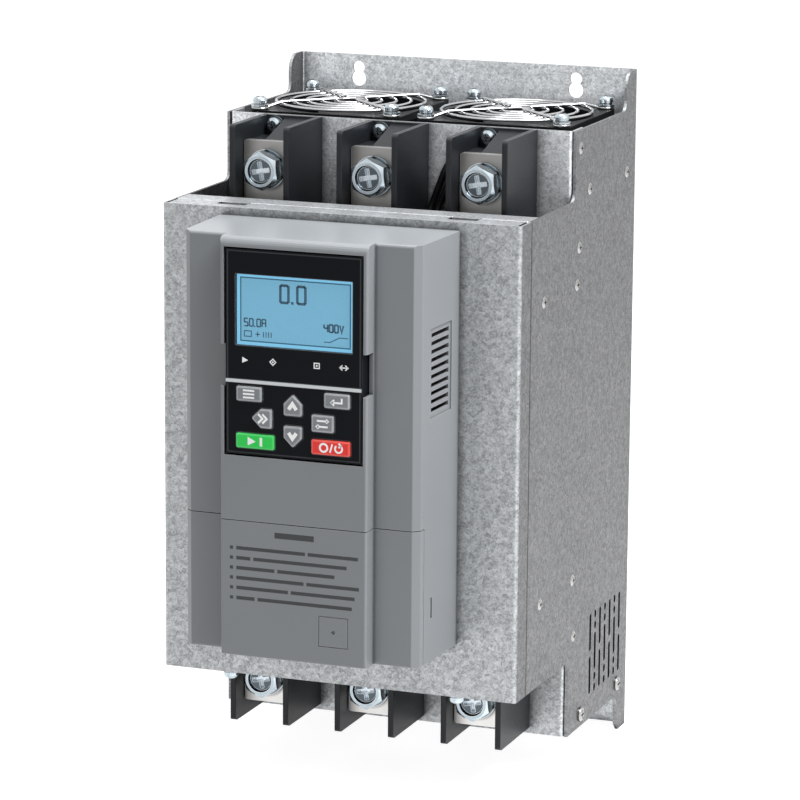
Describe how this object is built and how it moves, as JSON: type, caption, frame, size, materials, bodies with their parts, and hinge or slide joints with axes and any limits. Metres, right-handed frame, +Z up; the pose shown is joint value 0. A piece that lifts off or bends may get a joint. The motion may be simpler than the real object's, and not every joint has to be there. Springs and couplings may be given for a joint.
{
  "type": "soft starter",
  "caption": "Wall-hung three-phase motor soft starter: folded galvanised box with heat sink and top fans, bolted terminals between barriers, and a grey front housing with a pull-out keypad.",
  "frame": {"origin": "middle of the back plate's rear face, which lies on the wall", "axes": "+Z up, +X to the right as one faces the keypad, +Y into the wall, so the front faces -Y"},
  "size_m": [0.1892, 0.2403, 0.348],
  "materials": {
    "galvanised_sheet": "spangled galvanised sheet",
    "heat_sink": "extruded",
    "module_plastic": "moulded",
    "tinned_bar": "tin-plated copper, dull",
    "barrier_plastic": "moulded, satin black",
    "zinc_fastener": "blue-white zinc plating",
    "sensor_plastic": "potted",
    "fan_plastic": "moulded black",
    "guard_wire": "bright plated wire",
    "housing_plastic": "fine grained grey",
    "circuit_board": "solder mask",
    "terminal_green": "moulded",
    "keypad_plastic": "satin near-black",
    "display_window": "clear window",
    "display_unit": "pale blue display",
    "key_grey": "satin grey",
    "key_green": "satin green",
    "key_red": "satin red"
  },
  "bodies": {
    "frame": {"chassis": "galvanised_sheet", "line_plate": "galvanised_sheet", "load_plate": "galvanised_sheet", "fan_tray": "galvanised_sheet", "bottom_tray": "galvanised_sheet", "top_rail": "galvanised_sheet", "bottom_rail": "galvanised_sheet", "upper_crossbar": "galvanised_sheet", "lower_crossbar": "galvanised_sheet", "front_cover": "galvanised_sheet", "heat_sink": "heat_sink", "thyristor_1": "module_plastic", "thyristor_2": "module_plastic", "thyristor_3": "module_plastic", "line_bar_1": "tinned_bar", "line_bar_2": "tinned_bar", "line_bar_3": "tinned_bar", "load_bar_1": "tinned_bar", "load_bar_2": "tinned_bar", "load_bar_3": "tinned_bar", "line_barrier_1": "barrier_plastic", "line_barrier_2": "barrier_plastic", "line_barrier_3": "barrier_plastic", "load_barrier_1": "barrier_plastic", "load_barrier_2": "barrier_plastic", "load_barrier_3": "barrier_plastic", "terminal_bolts": "zinc_fastener", "spring_washers": "zinc_fastener", "flat_washers": "zinc_fastener", "tray_screws": "zinc_fastener", "module_screws": "zinc_fastener", "fan_screws": "zinc_fastener", "washer_screws": "zinc_fastener", "side_screws": "zinc_fastener", "current_sensor_1": "sensor_plastic", "current_sensor_2": "sensor_plastic", "current_sensor_3": "sensor_plastic", "fan_frame_left": "fan_plastic", "fan_frame_right": "fan_plastic", "fan_guard_left": "guard_wire", "fan_guard_right": "guard_wire", "housing": "housing_plastic", "control_board": "circuit_board", "trigger_board": "circuit_board", "terminal_strip": "terminal_green"},
    "keypad": {"keypad_case": "keypad_plastic", "lcd_window": "display_window", "lcd_unit": "display_unit", "keypad_board": "circuit_board"},
    "lower_cover": {"lower_cover": "housing_plastic"},
    "fan_rotor_left": {"fan_rotor_left": "fan_plastic"},
    "fan_rotor_right": {"fan_rotor_right": "fan_plastic"},
    "program_key": {"program_key": "key_grey"},
    "enter_key": {"enter_key": "key_grey"},
    "up_key": {"up_key": "key_grey"},
    "down_key": {"down_key": "key_grey"},
    "shift_key": {"shift_key": "key_grey"},
    "mode_key": {"mode_key": "key_grey"},
    "run_key": {"run_key": "key_green"},
    "stop_key": {"stop_key": "key_red"}
  },
  "joints": [
    {"name": "keypad_pull", "type": "slide", "parent": "frame", "child": "keypad", "axis": [0, -1, 0], "range_m": [0, 0.02]},
    {"name": "lower_cover_pull", "type": "slide", "parent": "frame", "child": "lower_cover", "axis": [0, -1, 0], "range_m": [0, 0.018]},
    {"name": "fan_spin_left", "type": "hinge", "parent": "frame", "child": "fan_rotor_left", "pos_m": [-0.045, -0.0505, 0.142], "axis": [0, 0, 1], "continuous": true},
    {"name": "fan_spin_right", "type": "hinge", "parent": "frame", "child": "fan_rotor_right", "pos_m": [0.045, -0.0505, 0.142], "axis": [0, 0, 1], "continuous": true},
    {"name": "program_press", "type": "slide", "parent": "keypad", "child": "program_key", "axis": [0, 1, 0], "range_m": [0, 0.0008], "stiffness_N_per_m": 1500},
    {"name": "enter_press", "type": "slide", "parent": "keypad", "child": "enter_key", "axis": [0, 1, 0], "range_m": [0, 0.0008], "stiffness_N_per_m": 1500},
    {"name": "up_press", "type": "slide", "parent": "keypad", "child": "up_key", "axis": [0, 1, 0], "range_m": [0, 0.0008], "stiffness_N_per_m": 1500},
    {"name": "down_press", "type": "slide", "parent": "keypad", "child": "down_key", "axis": [0, 1, 0], "range_m": [0, 0.0008], "stiffness_N_per_m": 1500},
    {"name": "shift_press", "type": "slide", "parent": "keypad", "child": "shift_key", "axis": [0, 1, 0], "range_m": [0, 0.0008], "stiffness_N_per_m": 1500},
    {"name": "mode_press", "type": "slide", "parent": "keypad", "child": "mode_key", "axis": [0, 1, 0], "range_m": [0, 0.0008], "stiffness_N_per_m": 1500},
    {"name": "run_press", "type": "slide", "parent": "keypad", "child": "run_key", "axis": [0, 1, 0], "range_m": [0, 0.0008], "stiffness_N_per_m": 1500},
    {"name": "stop_press", "type": "slide", "parent": "keypad", "child": "stop_key", "axis": [0, 1, 0], "range_m": [0, 0.0008], "stiffness_N_per_m": 1500}
  ]
}
